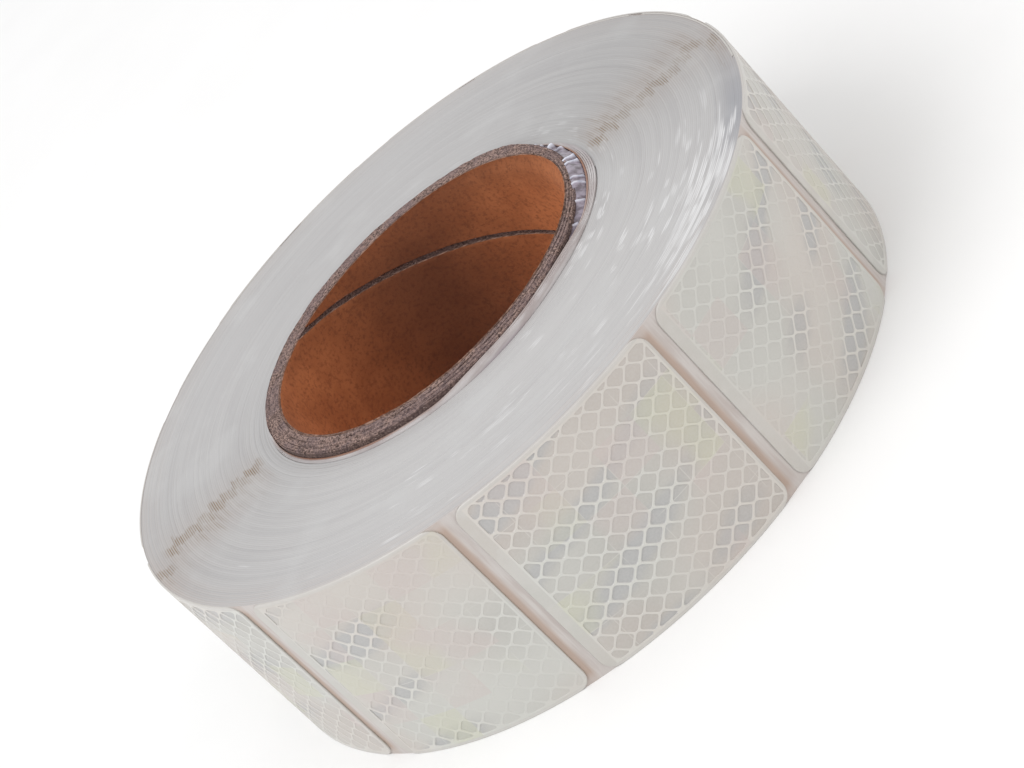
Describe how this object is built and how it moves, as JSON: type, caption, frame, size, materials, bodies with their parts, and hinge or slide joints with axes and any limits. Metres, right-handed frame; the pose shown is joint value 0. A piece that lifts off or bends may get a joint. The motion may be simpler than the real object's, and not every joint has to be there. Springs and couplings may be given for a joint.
{
  "type": "roll of retroreflective tape",
  "caption": "Roll of white honeycomb retroreflective tape: sealed segments on a release liner, wound on a paperboard core, with a tail that lifts and an end segment that peels.",
  "frame": {"origin": "the roll's axis at the lower end of the windings, with the roll lying flat", "axes": "+Z along the roll's axis, from the flat end to the end where the core stands proud; +X towards the crescent of pleated film between core and windings, at the first tail hinge"},
  "size_m": [0.166, 0.1662, 0.0527],
  "materials": {
    "prismatic_film": "satin",
    "wound_tape": "satin",
    "release_liner": "satin",
    "starter_liner": "satin",
    "anchor_film": "gloss",
    "kraft_paper": "matte",
    "core_board": "matte"
  },
  "bodies": {
    "roll": {"inner_turns": "wound_tape", "starter_turn": "starter_liner", "roll_liner": "release_liner", "tape_segment_04": "prismatic_film", "tape_segment_05": "prismatic_film", "tape_segment_06": "prismatic_film", "tape_segment_07": "prismatic_film", "tape_segment_08": "prismatic_film", "tape_segment_09": "prismatic_film", "tape_segment_10": "prismatic_film", "tape_segment_11": "prismatic_film", "tape_segment_12": "prismatic_film", "tape_segment_13": "prismatic_film", "core_bore_ply": "kraft_paper", "core_board_ply_1": "core_board", "core_board_ply_2": "core_board", "core_board_ply_3": "core_board", "core_outer_ply": "core_board", "anchor_film": "anchor_film"},
    "tail_near": {"tail_liner_03": "release_liner", "tape_segment_03": "prismatic_film"},
    "tail_mid": {"tail_liner_02": "release_liner", "tape_segment_02": "prismatic_film"},
    "tail_end": {"tail_liner_01": "release_liner"},
    "end_segment": {"tape_segment_01": "prismatic_film"}
  },
  "joints": [
    {"name": "tail_lift", "type": "hinge", "parent": "roll", "child": "tail_near", "pos_m": [0.0824, 0.00721, 0.025], "axis": [0, 0, -1], "range_deg": [0, 55]},
    {"name": "tail_mid_bend", "type": "hinge", "parent": "tail_near", "child": "tail_mid", "pos_m": [0.06051, 0.05643, 0.025], "axis": [0, 0, -1], "range_deg": [0, 45]},
    {"name": "tail_end_bend", "type": "hinge", "parent": "tail_mid", "child": "tail_end", "pos_m": [0.01295, 0.08177, 0.025], "axis": [0, 0, -1], "range_deg": [0, 45]},
    {"name": "segment_peel", "type": "hinge", "parent": "tail_end", "child": "end_segment", "pos_m": [0.01104, 0.08212, 0.025], "axis": [0, 0, -1], "range_deg": [0, 70]}
  ]
}
